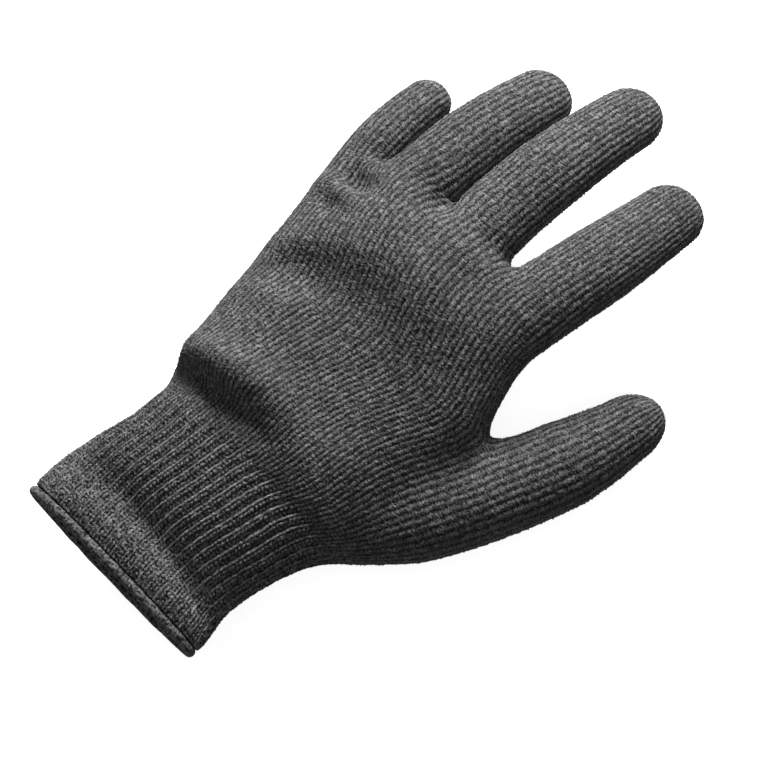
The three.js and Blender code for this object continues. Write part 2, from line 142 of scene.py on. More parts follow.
class Digit:
    """Centre line and sections of one finger, for distances and rings."""

    def __init__(self, name):
        across, start, rise, breadth, depth, length, leave, land, lift, drop, taper = DIGITS[name]
        thumb = name == "thumb"
        shape = np.array(THUMB_SHAPE if thumb else FINGER_SHAPE)
        deep = THUMB_BREADTH if thumb else HAND_DEPTH
        self.length = THUMB_LENGTH if thumb else length * FINGER_LENGTH
        half = (THUMB_BREADTH if thumb else breadth * HAND_BREADTH) / 2
        high = depth * deep / 2
        root = np.array(
            [across * HAND_BREADTH, CUFF_LENGTH + start * HAND_LENGTH, rise * deep]
        )
        self.low, self.high = shape[0, 0], shape[-1, 0]
        self.at = np.linspace(self.low, self.high, STATIONS) * self.length
        share = np.clip(self.at / self.length, 0, None)
        heading = np.radians(mix(leave, land, share))
        slope = np.radians(mix(lift, drop, share))
        forward = np.stack(
            [np.sin(heading) * np.cos(slope), np.cos(heading) * np.cos(slope), np.sin(slope)], 1
        )
        steps = np.diff(self.at)[:, None] * (forward[1:] + forward[:-1]) / 2
        line = np.vstack([np.zeros(3), np.cumsum(steps, 0)])
        origin = np.array([np.interp(0.0, self.at, line[:, i]) for i in range(3)])
        self.centre = line - origin + root
        self.forward = forward
        self.across = np.stack([np.cos(heading), -np.sin(heading), np.zeros(STATIONS)], 1)
        self.over = np.cross(self.across, forward)
        narrow = 1 - taper * share
        self.half = half * np.interp(self.at / self.length, shape[:, 0], shape[:, 1]) * narrow
        self.tall = high * np.interp(self.at / self.length, shape[:, 0], shape[:, 2]) * narrow
        self.cap = (1 - self.high) * self.length

    def sample(self, index):
        """Centre, directions and half sizes at fractional stations."""
        low = np.clip(np.floor(index).astype(int), 0, len(self.at) - 2)
        part = (index - low)[:, None]
        rows = []
        for values in (self.centre, self.across, self.over, self.forward):
            rows.append(mix(values[low], values[low + 1], part))
        half = mix(self.half[low], self.half[low + 1], part[:, 0])
        tall = mix(self.tall[low], self.tall[low + 1], part[:, 0])
        return (*rows, half, tall)

    def distance(self, p):
        """Signed distance from its skin, and the direction straight off it."""
        gaps = ((p[:, None, :] - self.centre[None]) ** 2).sum(2)
        near = gaps.argmin(1)
        step = self.at[1] - self.at[0]
        lift = ((p - self.centre[near]) * self.forward[near]).sum(1)
        index = np.clip(near + lift / step, 0, len(self.at) - 1)
        centre, across, over, forward, half, tall = self.sample(index)
        rel = p - centre
        a = (rel * across).sum(1)
        o = (rel * over).sum(1)
        s = (rel * forward).sum(1)
        beyond = (index >= len(self.at) - 1.0001) & (s > 0)
        before = (index <= 0.0001) & (s < 0)
        s = np.where(beyond | before, s, 0.0)
        long = np.where(beyond, self.cap, ROOT_CAP)
        q = np.sqrt((a / half) ** 2 + (o / tall) ** 2 + (s / long) ** 2) + 1e-9
        slope = (
            across * (a / half**2)[:, None]
            + over * (o / tall**2)[:, None]
            + forward * (s / long**2)[:, None]
        ) / q[:, None]
        normal, size = unit(slope)
        return (q - 1) / np.maximum(size, LEAST_SLOPE / np.maximum(half, tall)), normal

    def ring(self, along, angles):
        """Points round the digit at a distance along it; angles start at the little side."""
        last = self.at[-1]
        if along <= last:
            index = np.array([(along - self.at[0]) / (self.at[1] - self.at[0])])
            centre, across, over, forward, half, tall = self.sample(index)
            wide, high, push = half[0], tall[0], 0.0
        else:
            index = np.array([len(self.at) - 1.0])
            centre, across, over, forward, half, tall = self.sample(index)
            turn = min((along - last) / self.cap, 1.0) * math.pi / 2 * TIP_TURN
            wide = half[0] * math.cos(turn) ** TIP_FULLNESS
            high = tall[0] * math.cos(turn)
            push = self.cap * math.sin(turn)
        x = -np.cos(angles) * wide
        z = np.sin(angles) * high
        return centre + forward * push + across * x[:, None] + over * z[:, None]


class Trunk:
    """Cuff and palm as one tube along +Y."""

    def __init__(self):
        rows = []
        for along, blend, swell, middle, top, bottom, full in CUFF_ROWS:
            breadth = mix(HEM_BREADTH, WRIST_BREADTH, blend)
            depth = mix(HEM_DEPTH, WRIST_DEPTH, blend)
            rows.append(
                (along * CUFF_LENGTH, breadth / 2 * swell, depth * top, depth * bottom,
                 middle * breadth, full)
            )
        for along, blend, swell, middle, top, bottom, full in HAND_ROWS:
            breadth = mix(WRIST_BREADTH, HAND_BREADTH, blend)
            depth = mix(WRIST_DEPTH, HAND_DEPTH, blend)
            rows.append(
                (CUFF_LENGTH + along * HAND_LENGTH, breadth / 2 * swell, depth * top,
                 depth * bottom, middle * breadth, full)
            )
        table = np.array(rows)
        self.y = np.arange(-TRUNK_STEP * TRUNK_SMOOTHING, table[-1, 0] + TRUNK_STEP, TRUNK_STEP)
        kernel_places = np.arange(-TRUNK_SMOOTHING, TRUNK_SMOOTHING + 1)
        kernel = np.exp(-0.5 * (3.0 * kernel_places / TRUNK_SMOOTHING) ** 2)
        kernel /= kernel.sum()
        self.columns = []
        for i in range(1, 6):
            values = np.interp(self.y, table[:, 0], table[:, i])
            padded = np.pad(values, TRUNK_SMOOTHING, "edge")
            self.columns.append(np.convolve(padded, kernel, "valid"))
        self.end = self.y[-1]

    def at(self, y):
        return [np.interp(y, self.y, values) for values in self.columns]

    def distance(self, p):
        half, top, bottom, middle, full = self.at(p[:, 1])
        x, z = p[:, 0] - middle, p[:, 2]
        rise = np.zeros(len(p))
        for across, along, lift, reach in BACK_SWELLS:
            dx = (p[:, 0] - across * HAND_BREADTH) / (reach * HAND_BREADTH)
            dy = (p[:, 1] - CUFF_LENGTH - along * HAND_LENGTH) / (reach * HAND_BREADTH)
            rise += lift * HAND_DEPTH * np.exp(-(dx * dx + dy * dy))
        tall = np.where(z > 0, top + rise * smooth(z / SWELL_START), bottom)
        s = np.maximum(p[:, 1] - self.end, 0.0)
        ax, az, ay = np.abs(x) / half + 1e-9, np.abs(z) / tall + 1e-9, s / KNUCKLE_CAP + 1e-9
        q = (ax**full + az**full + ay**full) ** (1 / full)
        lean = q ** (1 - full)
        slope = np.stack(
            [
                np.sign(x) * ax ** (full - 1) / half * lean,
                np.where(s > 0, ay ** (full - 1) / KNUCKLE_CAP * lean, 0.0),
                np.sign(z) * az ** (full - 1) / tall * lean,
            ],
            1,
        )
        normal, size = unit(slope)
        return (q - 1) / np.maximum(size, LEAST_SLOPE / np.maximum(half, tall)), normal

    def ring(self, y, shares, left=None, marks=None):
        """Points at shares of the way round: 0 at the little side, 0.25 on top, 0.5 at the thumb.

        left moves the little side in. marks gives x places, and their shares are returned instead.
        """
        half, top, bottom, middle, full = self.at(y)
        if left is not None:
            right = middle + half
            half, middle = (right - left) / 2, (right + left) / 2
        turn = np.linspace(0, 2 * math.pi, 361)
        c, s = -np.cos(turn), np.sin(turn)
        x = np.sign(c) * np.abs(c) ** (2 / full) * half
        z = np.sign(s) * np.abs(s) ** (2 / full) * np.where(s > 0, top, bottom)
        length = np.concatenate([[0], np.cumsum(np.hypot(np.diff(x), np.diff(z)))])
        for low, high in ((0, 180), (180, 360)):
            part = length[low : high + 1]
            length[low : high + 1] = (part - part[0]) / (part[-1] - part[0]) * 0.5 + low / 360
        if marks is not None:
            return np.interp(marks, x[:181] + middle, length[:181])
        px = np.interp(shares, length, x) + middle
        pz = np.interp(shares, length, z)
        return np.stack([px, np.full(len(px), y), pz], 1)


trunk = Trunk()
digits = {name: Digit(name) for name in DIGITS}

# How far the union rounds the root of the thumb and of a finger, and how far a point past the root
# of its own digit is kept from all others.
THUMB_REACH, FINGER_REACH = 13.0, 5.0
AWAY, AWAY_LIMIT = 40.0, 30.0


def union(a, na, b, nb, reach):
    """Rounded union of two distances and their directions."""
    h = np.clip(0.5 + 0.5 * (b - a) / reach, 0, 1)
    d = mix(b, a, h) - reach * h * (1 - h)
    return d, unit(mix(nb, na, h[:, None]))[0]


def skin(p, own):
    """Distance from the whole glove, and the direction off it, for points that may own one digit.

    own holds the number of the digit, or -1, and how far the point is past its root, 0 to 1.
    """
    number, past = own
    distance, normal = trunk.distance(p)
    for i, name in enumerate(DIGITS):
        reach = THUMB_REACH if name == "thumb" else FINGER_REACH
        away = np.where(number == i, 0.0, np.clip(past, 0, 1) * AWAY)
        use = away < AWAY_LIMIT
        if not use.any():
            continue
        part, way = digits[name].distance(p[use])
        joined = union(distance[use], normal[use], part + away[use], way, reach)
        distance[use], normal[use] = joined
    return distance, normal


# The knit as one net: a vertex where a line between two wales crosses a course.
RIBS, RIB_WALES = 42, 3
WALES = RIBS * RIB_WALES
# Wales across the back of each digit's root.
COUNTS = {"little": 11, "ring": 12, "middle": 13, "index": 14, "thumb": 13}
# Height of a course in millimetres.
COURSE = 1.4
# Where the forks lie: heights along the glove, and places across it.
THUMB_FORK, LITTLE_FORK, FORK = 118.0, 154.0, 166.0
THUMB_FORK_X, FORKS_X = 52.0, (-37.5, -15.5, 16.5)
# The webs of the forks: wales across them, and how far their middle is pushed out.
THUMB_WEB, WEB = 4, 2
THUMB_WEB_PUSH, WEB_PUSH = (2.0, 5.0, 0.0), (0.0, 3.0, 0.0)

points, quads, quad_uv, quad_label = [], [], [], []
owner, beyond_root = [], []
LABELS = ["cuff", "hand_back", "little", "ring", "middle", "index", "thumb", "hand_palm"]
BACK, PALM = 1, 7


def add_points(array, number=-1, past=0.0):
    first = len(points)
    for row in array:
        points.append(row)
        owner.append(number)
        beyond_root.append(past)
    return list(range(first, first + len(array)))


def join_rows(low, high, v, labels):
    n = len(low)
    for k in range(n):
        m = (k + 1) % n
        quads.append((low[k], low[m], high[m], high[k]))
        quad_uv.append(((k, v), (k + 1, v), (k + 1, v + 1), (k, v + 1)))
        quad_label.append(labels[k])


def sides(n, half):
    """Labels round the hand: the back for the first lines, then the palm."""
    return [BACK if k < half else PALM for k in range(n)]


def web(top, bottom, count, push):
    """Points of a fork's web between a line on the back and its mate on the palm."""
    a, b = np.array(points[top]), np.array(points[bottom])
    rows = []
    for k in range(1, count):
        t = k / count
        rows.append(mix(a, b, t) + np.array(push) * math.sin(math.pi * t))
    return add_points(rows)


# Cuff and five-finger section
cuff_courses = round((CUFF_LENGTH - EDGE_HEIGHT) / COURSE)
shares = np.arange(WALES) / WALES
row = add_points(trunk.ring(EDGE_HEIGHT, shares))
hem_row = list(row)
for r in range(cuff_courses):
    y = mix(EDGE_HEIGHT, CUFF_LENGTH, (r + 1) / cuff_courses)
    upper = add_points(trunk.ring(y, shares))
    join_rows(row, upper, r, [0] * WALES)
    row = upper

half_wales = WALES // 2
thumb_line = half_wales - COUNTS["thumb"]
five_courses = round((THUMB_FORK - CUFF_LENGTH) / COURSE)
four_wales = 2 * thumb_line + THUMB_WEB

# The courses below the thumb's fork: where they bend at wrist and fork, and the turn they end with.
BEND_START_X, THUMB_TURN = 20.0, 20.0
# Reach of a course to both sides of its bend and its step, and the search for the skin over it.
RUN_LEFT, RUN_RIGHT, RUN_STEP = -100.0, 60.0, 0.4
SEARCH_HEIGHT, SEARCH_ROUNDS = 34.0, 16
# Height where the search starts for the back and the palm, and its drop towards the thumb.
BACK_START, PALM_START = -3.0, 2.0
DROP_X, DROP, MOST_DROP = 25.0, 0.12, 5.0


def heights(x, y, side):
    """Height of the skin over points of the plane, on the back (side 1) or the palm (side -1)."""
    low = np.full(len(x), BACK_START if side > 0 else PALM_START)
    low = low - np.clip((x - DROP_X) * DROP, 0, MOST_DROP)
    high = np.full(len(x), SEARCH_HEIGHT * side)
    free = (np.full(len(x), -1), np.zeros(len(x)))
    start = skin(np.stack([x, y, low], 1), free)[0]
    for _ in range(SEARCH_ROUNDS):
        middle = (low + high) / 2
        inside = skin(np.stack([x, y, middle], 1), free)[0] < 0
        low = np.where(inside, middle, low)
        high = np.where(inside, high, middle)
    return np.where(start < 0, low, np.nan)


def curtain(t):
    """Closed section of the five-finger part: level across the palm, turning across the thumb."""
    y = mix(CUFF_LENGTH, THUMB_FORK, t)
    bend_x = mix(BEND_START_X, THUMB_FORK_X, smooth(t))
    turn = math.radians(THUMB_TURN) * t
    run = np.arange(RUN_LEFT, RUN_RIGHT, RUN_STEP)
    right = np.maximum(run, 0.0)
    x = bend_x + np.minimum(run, 0.0) + right * math.cos(turn)
    plan_y = y - right * math.sin(turn)
    top, bottom = heights(x, plan_y, 1), heights(x, plan_y, -1)
    use = ~np.isnan(top) & ~np.isnan(bottom)
    x, plan_y, top, bottom, run = x[use], plan_y[use], top[use], bottom[use], run[use]
    middle = (top[[0, -1]] + bottom[[0, -1]]) / 2
    loops = []
    for z in (top, bottom):
        line = np.stack([x, plan_y, z], 1)
        first = line[:1] * [1, 1, 0] + [[-0.2, 0, middle[0]]]
        last = line[-1:] * [1, 1, 0] + [[0.2, 0, middle[1]]]
        line = np.vstack([first, line, last])
        length = np.concatenate([[0], np.cumsum(np.linalg.norm(np.diff(line, axis=0), axis=1))])
        bend = np.interp(0.0, np.concatenate([[run[0] - 1], run, [run[-1] + 1]]), length)
        loops.append((line, length / length[-1], bend / length[-1]))
    return loops


def along_loop(loop, shares):
    line, length, _ = loop
    return np.stack([np.interp(shares, length, line[:, i]) for i in range(3)], 1)


for r in range(five_courses):
    t = (r + 1) / five_courses
    loops = curtain(t)
    halves = []
    for loop in loops:
        bend = mix(thumb_line / half_wales, loop[2], smooth(t))
        lines = np.interp(np.arange(half_wales + 1), [0, thumb_line, half_wales], [0, bend, 1])
        halves.append(along_loop(loop, lines))
    upper = add_points(np.vstack([halves[0], halves[1][-2:0:-1]]))
    join_rows(row, upper, cuff_courses + r, sides(WALES, half_wales))
    row = upper
v_now = cuff_courses + five_courses

thumb_web = web(row[thumb_line], row[WALES - thumb_line], THUMB_WEB, THUMB_WEB_PUSH)
back_mates = row[WALES - thumb_line :]
ring_four = row[: thumb_line + 1] + thumb_web + back_mates
ring_thumb = row[thumb_line : WALES - thumb_line + 1] + thumb_web[::-1]

# Four-finger section up to the little finger's fork
fork_lines = np.cumsum([COUNTS["little"], COUNTS["ring"], COUNTS["middle"]])


def spread(first, marks, places, end, t):
    """Shares of the way round for lines from the little side to the middle of the thumb's web."""
    plain = first + (np.arange(end + 1)) / end * (0.5 - first)
    anchored = np.interp(np.arange(end + 1), marks, places)
    top = mix(plain, anchored, t)
    return np.concatenate([top, 1 - top[-2::-1]])


four_courses = round((LITTLE_FORK - THUMB_FORK) / COURSE)
half_four = four_wales // 2
row = ring_four
for r in range(four_courses):
    t = (r + 1) / four_courses
    y = mix(THUMB_FORK, LITTLE_FORK, t)
    places = [0.0, *trunk.ring(y, None, marks=FORKS_X), 0.5]
    along = spread(0.0, [0, *fork_lines, half_four], places, half_four, smooth(t))[:-1]
    upper = add_points(trunk.ring(y, along))
    join_rows(row, upper, v_now + r, sides(four_wales, half_four))
    row = upper
v_little = v_now + four_courses
little_line = COUNTS["little"]
mate = four_wales - little_line
little_web = web(row[little_line], row[mate], WEB, WEB_PUSH)
ring_little = row[mate:] + row[: little_line + 1] + little_web
ring_three = row[little_line : mate + 1] + little_web[::-1]

# Three-finger section up to the other forks
three_courses = round((FORK - LITTLE_FORK) / COURSE)
row = ring_three
span = mate - little_line
half_three = span // 2 + 1
for r in range(three_courses):
    y = mix(LITTLE_FORK, FORK, (r + 1) / three_courses)
    low = min(y, trunk.end)
    places = [0.0, *trunk.ring(low, None, FORKS_X[0], FORKS_X[1:]), 0.5]
    lines = fork_lines[1:] - little_line + 1
    along = spread(0.0, [0, *lines, half_three], places, half_three, 1.0)
    ring = trunk.ring(low, along, FORKS_X[0])
    ring[:, 1] = y
    upper = add_points(np.vstack([ring[1:-1], ring[:1]]))
    three_sides = sides(len(row), half_three - 1)
    three_sides[-1] = BACK
    join_rows(row, upper, v_little + r, three_sides)
    row = upper
v_fork = v_little + three_courses
ring_end = COUNTS["ring"]
middle_end = ring_end + COUNTS["middle"]
ring_web = web(row[ring_end], row[span - ring_end], WEB, WEB_PUSH)
middle_web = web(row[middle_end], row[span - middle_end], WEB, WEB_PUSH)
left_web = [row[-1]]
# The ring of points at each digit's root, and the course that it is.
rings = {
    "little": (ring_little, v_little),
    "ring": (left_web + row[: ring_end + 1] + ring_web + row[span - ring_end : span + 1], v_fork),
    "middle": (
        ring_web[::-1]
        + row[ring_end : middle_end + 1]
        + middle_web
        + row[span - middle_end : span - ring_end + 1],
        v_fork,
    ),
    "index": (middle_web[::-1] + row[middle_end : span - middle_end + 1], v_fork),
    "thumb": (ring_thumb, v_now),
}
# Share of its length where each digit's own piece starts.
PIECE_STARTS = {"little": 0.3, "ring": 0.2, "middle": 0.16, "index": 0.24, "thumb": 0.6}
# Wales from the middle of the digit's little side to the first point of its ring.
FIRST_WALES = {
    "little": -little_line, "ring": 0, "middle": 0, "index": 0, "thumb": THUMB_WEB // 2,
}
# Times that the dome of a tip is stretched for its courses, the fewest courses of a digit, and the
# courses over which its ring takes the digit's shape and leaves the other digits.
DOME_STRETCH = 1.35
LEAST_COURSES, SHAPING_COURSES, LEAVING_COURSES = 6, 8, 7


def finger_rows(name):
    """Courses of one digit from the ring at its root to the closed tip."""
    ring, v = rings[name]
    number = list(DIGITS).index(name)
    digit = digits[name]
    n = len(ring)
    order = (np.arange(n) + FIRST_WALES[name]) % n
    angles = order / n * 2 * math.pi
    centre = np.mean([points[i] for i in ring], 0)
    nearest = np.linalg.norm(digit.centre - centre, axis=1).argmin()
    begin = digit.at[nearest]
    way = digit.at[-1] - begin + DOME_STRETCH * digit.cap
    courses = max(LEAST_COURSES, round(way / COURSE))
    base = np.array([points[i] for i in ring])
    forward = digit.forward[nearest]
    row = ring
    for r in range(courses):
        t = (r + 1) / courses
        along = begin + way * t
        if along > digit.at[-1]:
            along = digit.at[-1] + (along - digit.at[-1]) / DOME_STRETCH
        plain = digit.ring(along, angles)
        grown = base + forward * way * t
        shaped = smooth((r + 1) / SHAPING_COURSES)
        past = min(1.0, (r + 1) / LEAVING_COURSES)
        upper = add_points(mix(grown, plain, shaped), number, past)
        if along > PIECE_STARTS[name] * digit.length:
            labels = [2 + number] * n
        else:
            labels = [BACK if line < n / 2 else PALM for line in order]
        join_rows(row, upper, v + r, labels)
        row = upper
    # The tip: the two sides meet along a line across the finger.
    start = int(np.where(order == 0)[0][0])
    turned = row[start:] + row[:start]
    top_v = v + courses
    for k in range(n // 2):
        left, right = turned[k], turned[k + 1]
        mate_left, mate_right = turned[-k % n], turned[(-k - 1) % n]
        if k == 0:
            quads.append((left, right, mate_right))
            quad_uv.append(((0, top_v), (1, top_v), (1, top_v + 1)))
        elif k == n // 2 - 1:
            quads.append((left, right, mate_left))
            quad_uv.append(((k, top_v), (k + 1, top_v), (k, top_v + 1)))
        else:
            quads.append((left, right, mate_right, mate_left))
            quad_uv.append(((k, top_v), (k + 1, top_v), (k + 1, top_v + 1), (k, top_v + 1)))
        quad_label.append(2 + number)


for digit_name in DIGITS:
    finger_rows(digit_name)

net = np.array(points)
own = np.array(owner)
past_root = np.array(beyond_root)


def net_edges():
    """Pairs of net points that a side of a quad joins."""
    pairs = set()
    for face in quads:
        for i in range(len(face)):
            p, q = face[i], face[(i + 1) % len(face)]
            pairs.add((min(p, q), max(p, q)))
    return np.array(sorted(pairs))


edges = net_edges()
neighbours = np.bincount(edges.ravel(), minlength=len(net)).astype(float)
fixed = np.zeros(len(net), bool)
fixed[hem_row] = True
# Rounds, the share of the way to the neighbours' middle and back to the skin that a point takes in
# each, and the longest way back in millimetres.
RELAX_ROUNDS = 60
SLIDE, RETURN, LONGEST_RETURN = 0.5, 0.9, 4.0


def relax(net):
    """Net with its points slid apart evenly over the skin of the glove."""
    for _ in range(RELAX_ROUNDS):
        total = np.zeros_like(net)
        for axis in range(3):
            total[:, axis] = np.bincount(edges[:, 0], net[edges[:, 1], axis], len(net))
            total[:, axis] += np.bincount(edges[:, 1], net[edges[:, 0], axis], len(net))
        move = total / neighbours[:, None] - net
        d, n = skin(net, (own, past_root))
        move -= n * (move * n).sum(1)[:, None]
        move[fixed] = 0
        step = np.clip(d, -LONGEST_RETURN, LONGEST_RETURN)[:, None] * n
        step[fixed] = 0
        net = net + SLIDE * move - RETURN * step
    return net


net = relax(net)


# Folds and swells of the back in millimetres: the middle across and along the glove, the reach
# across and along the fold, its heading from +X in degrees, and its height outwards.
BACK_FOLDS = [
    (-15.0, 74.0, 6.5, 26.0, 8.0, 3.8),
    (-17.0, 62.5, 5.0, 22.0, 4.0, -5.4),
    (16.0, 84.0, 9.0, 16.0, 20.0, -2.4),
    (-4.0, 90.0, 6.0, 20.0, 20.0, -0.9),
    (-28.0, 100.0, 6.0, 14.0, 30.0, 1.2),
    (-32.0, 111.0, 5.0, 10.0, 24.0, -1.3),
    (-36.0, 121.0, 5.0, 9.0, 30.0, 1.5),
    (-14.0, 116.0, 9.0, 20.0, 12.0, -1.6),
    (-24.0, 130.5, 7.5, 15.0, 12.0, 2.1),
    (5.0, 138.0, 13.0, 28.0, -8.0, 4.8),
    (-40.0, 137.5, 3.5, 7.0, -10.0, -2.0),
    (-42.0, 143.0, 4.5, 8.0, 10.0, 1.6),
    (-38.5, 151.0, 4.5, 6.0, 10.0, -6.0),
    (-13.0, 163.5, 4.0, 7.0, 60.0, -2.6),
    (8.0, 104.0, 16.0, 34.0, 0.0, -4.0),
    (46.0, 100.0, 10.0, 12.0, 40.0, 1.2),
]
# Cuff folds, read the same way.
CUFF_FOLDS = [
    (-2.0, 19.0, 3.6, 20.0, -6.0, -1.2),
    (24.0, 15.5, 3.6, 14.0, -14.0, -1.8),
    (-2.0, 10.0, 4.0, 26.0, 0.0, 0.6),
    (0.0, 33.0, 7.0, 30.0, 0.0, 0.5),
]
# How the folds fade out as the skin turns away from the back: slope and start.
FOLD_FADE, FOLD_START = 1.6, 0.2


def bell(distance, reach):
    return np.exp(-((distance / reach) ** 2))


def folds(p, n):
    """Height of the folds and swells of the worn fabric, outwards, in millimetres."""
    back = smooth(n[:, 2] * FOLD_FADE + FOLD_START)
    height = np.zeros(len(p))
    for x, y, reach, length, heading, rise in BACK_FOLDS + CUFF_FOLDS:
        turn = math.radians(heading)
        dx, dy = p[:, 0] - x, p[:, 1] - y
        along = dx * math.cos(turn) + dy * math.sin(turn)
        across = dy * math.cos(turn) - dx * math.sin(turn)
        height += rise * bell(across, reach) * bell(along, length) * back
    return height


def face_normals(p, faces):
    """Normals of the vertices of quads, weighted by area."""
    a, b, c, d = (p[faces[:, i]] for i in range(4))
    cross = np.cross(c - a, d - b)
    total = np.zeros_like(p)
    for i in range(4):
        for axis in range(3):
            total[:, axis] += np.bincount(faces[:, i], cross[:, axis], len(p))
    return total / np.maximum(np.linalg.norm(total, axis=1), 1e-12)[:, None]


four_sided = np.array([list(q) + [q[-1]] * (4 - len(q)) for q in quads])
net_normal = face_normals(net, four_sided)
net = net + net_normal * folds(net, net_normal)[:, None]
net_normal = face_normals(net, four_sided)


def new_mesh(name, places, faces, coords):
    """Smooth mesh from places in millimetres, with the stitch coordinates of its corners."""
    mesh = bpy.data.meshes.new(name)
    mesh.from_pydata((places * MM).tolist(), [], faces)
    layer = mesh.uv_layers.new(name="stitches")
    layer.data.foreach_set("uv", np.array(coords, float).ravel())
    mesh.polygons.foreach_set("use_smooth", np.ones(len(faces), bool))
    return mesh


# Fine mesh: the net subdivided, then raised stitch by stitch.
coarse = new_mesh("net", net, quads, [corner for uv in quad_uv for corner in uv])
coarse.polygons.foreach_set("material_index", quad_label)
for label in LABELS:
    coarse.materials.append(None)
net_object = bpy.data.objects.new("net", coarse)
bpy.context.collection.objects.link(net_object)
finer = net_object.modifiers.new("finer", "SUBSURF")
finer.levels = finer.render_levels = 2
finer.uv_smooth = "NONE"
bpy.context.view_layer.update()
depsgraph = bpy.context.evaluated_depsgraph_get()
fine = bpy.data.meshes.new_from_object(net_object.evaluated_get(depsgraph))
bpy.data.objects.remove(net_object)


def read(data, name, width, kind=float):
    """One value of every element as an array, width numbers each."""
    values = np.empty(len(data) * width, kind)
    data.foreach_get(name, values)
    return values.reshape(-1, width) if width > 1 else values


fine_co = read(fine.vertices, "co", 3) / MM
fine_corner = read(fine.loops, "vertex_index", 1, np.int32)
fine_uv = read(fine.uv_layers[0].data, "uv", 2)
fine_label = read(fine.polygons, "material_index", 1, np.int32)
fine_faces = fine_corner.reshape(-1, 4)
corner_label = np.repeat(fine_label, 4)
fine_normal = face_normals(fine_co, fine_faces)


# Share of a rib of the cuff that is raised, and slant of a stitch's legs as a share of a course.
RIB_SHARE, LEG_SLANT = 0.74, 0.45
# Powers that round off a wale, a wale of the cuff, a bead and a rib.
WALE_POWER, CUFF_WALE_POWER, BEAD_POWER, RIB_POWER = 0.6, 0.7, 0.7, 0.5
# Heights that stay between two beads: of the hand, of a rib and of a rib's smooth wale.
HAND_GAP, RIB_GAP, SMOOTH_GAP = 0.45, 0.3, 0.8
# Heights in millimetres.
STITCH_RELIEF, RIB_RELIEF, LOOSE_YARN, HEM_GROOVE = 0.34, 0.6, 0.15, 0.5
# The ribs fade in from the first of two courses above the hem, over as many courses as the second
# says, and fade out likewise up to just past the wrist. LEAST_RIB is the share that the hem keeps.
HEM_FADE, WRIST_FADE, LEAST_RIB = (5.0, 11.0), (1.5, 5.0), 0.15
# Height in a rib that lies level with the net, and the courses of the groove beside the hem's edge.
RIB_LEVEL, GROOVE_COURSES = 0.8, 1.5


def ridge(x):
    """One rounded ridge to each whole step of x, from 0 to 1."""
    return 1 - np.abs(2 * (x % 1.0) - 1)


def stitch_height(u, v):
    """Knit stitches from 0 to 1: one bead of two slanting legs to a wale."""
    lean = np.abs(u % 1.0 - 0.5) * 2
    bead = ridge(v - LEG_SLANT * lean) ** BEAD_POWER
    return ridge(u) ** WALE_POWER * (HAND_GAP + (1 - HAND_GAP) * bead)


def rib_stitch_height(u, v):
    """Tight stitches of the cuff from 0 to 1: beads on all wales but the smooth first one."""
    gap = np.where((u / RIB_WALES) % 1.0 < 1 / RIB_WALES, SMOOTH_GAP, RIB_GAP)
    bead = ridge(v + 0.5 * (u % 1.0)) ** BEAD_POWER
    return ridge(u) ** CUFF_WALE_POWER * (gap + (1 - gap) * bead)


def rib_height(u):
    """Ribs of the cuff from 0 to 1: two raised wales and a groove."""
    share = (u / RIB_WALES) % 1.0
    return np.sin(math.pi * np.clip(share / RIB_SHARE, 0, 1)) ** RIB_POWER


# Loose yarn: every point lies a little high or low.
loose = np.random.default_rng(7).normal(0.0, 1.0, len(fine_co))
fine_u, fine_v = fine_uv[:, 0], fine_uv[:, 1]
hem_fade = smooth((fine_v - HEM_FADE[0]) / HEM_FADE[1])
wrist_fade = smooth((cuff_courses + WRIST_FADE[0] - fine_v) / WRIST_FADE[1])
in_cuff = corner_label == 0
plain_height = stitch_height(fine_u, fine_v)
tight_height = rib_stitch_height(fine_u, fine_v)
cuff_height = mix(plain_height, tight_height, wrist_fade)
height = STITCH_RELIEF * np.where(in_cuff, cuff_height, plain_height)
rib_share = (LEAST_RIB + (1 - LEAST_RIB) * hem_fade) * wrist_fade
ribs = RIB_RELIEF * rib_share * (rib_height(fine_u) - RIB_LEVEL)
groove = HEM_GROOVE * np.clip(1 - fine_v / GROOVE_COURSES, 0, 1)
height += np.where(in_cuff, ribs - groove, 0.0)
share_of = np.bincount(fine_corner, minlength=len(fine_co))
lift = np.bincount(fine_corner, height, len(fine_co)) / np.maximum(share_of, 1)
fine_co = fine_co + fine_normal * (lift + LOOSE_YARN * loose)[:, None]
fine_normal = face_normals(fine_co, fine_faces)

# Inside of the knit: the net set in by the thickness of the wall.
WALL = 1.3
inner_co = net - net_normal * WALL


def piece_mesh(name, label):
    """Mesh of one piece: the stitches outside and the plain net inside."""
    outside = fine_faces[fine_label == label]
    outside_uv = fine_uv.reshape(-1, 4, 2)[fine_label == label]
    inside = four_sided[np.array(quad_label) == label][:, ::-1]
    inside_uv = np.array([
        [list(corner) for corner in uv] + [list(uv[-1])] * (4 - len(uv))
        for uv, quad_piece in zip(quad_uv, quad_label)
        if quad_piece == label
    ])[:, ::-1]
    used_out, outside = np.unique(outside, return_inverse=True)
    used_in, inside = np.unique(inside, return_inverse=True)
    outside = outside.reshape(-1, 4)
    inside = inside.reshape(-1, 4) + len(used_out)
    places = np.vstack([fine_co[used_out], inner_co[used_in]])
    normals = np.vstack([fine_normal[used_out], -net_normal[used_in]])
    faces, coords = [], []
    all_faces = np.vstack([outside, inside]).tolist()
    all_coords = np.concatenate([outside_uv, inside_uv]).tolist()
    for face, uv in zip(all_faces, all_coords):
        kept = [i for i in range(4) if face[i] not in face[:i]]
        faces.append([face[i] for i in kept])
        coords.extend(uv[i] for i in kept)
    mesh = new_mesh(name, places, faces, coords)
    index = np.zeros(len(faces), np.int32)
    index[len(outside):] = 1
    mesh.polygons.foreach_set("material_index", index)
    mesh.normals_split_custom_set_from_vertices(normals.tolist())
    return mesh


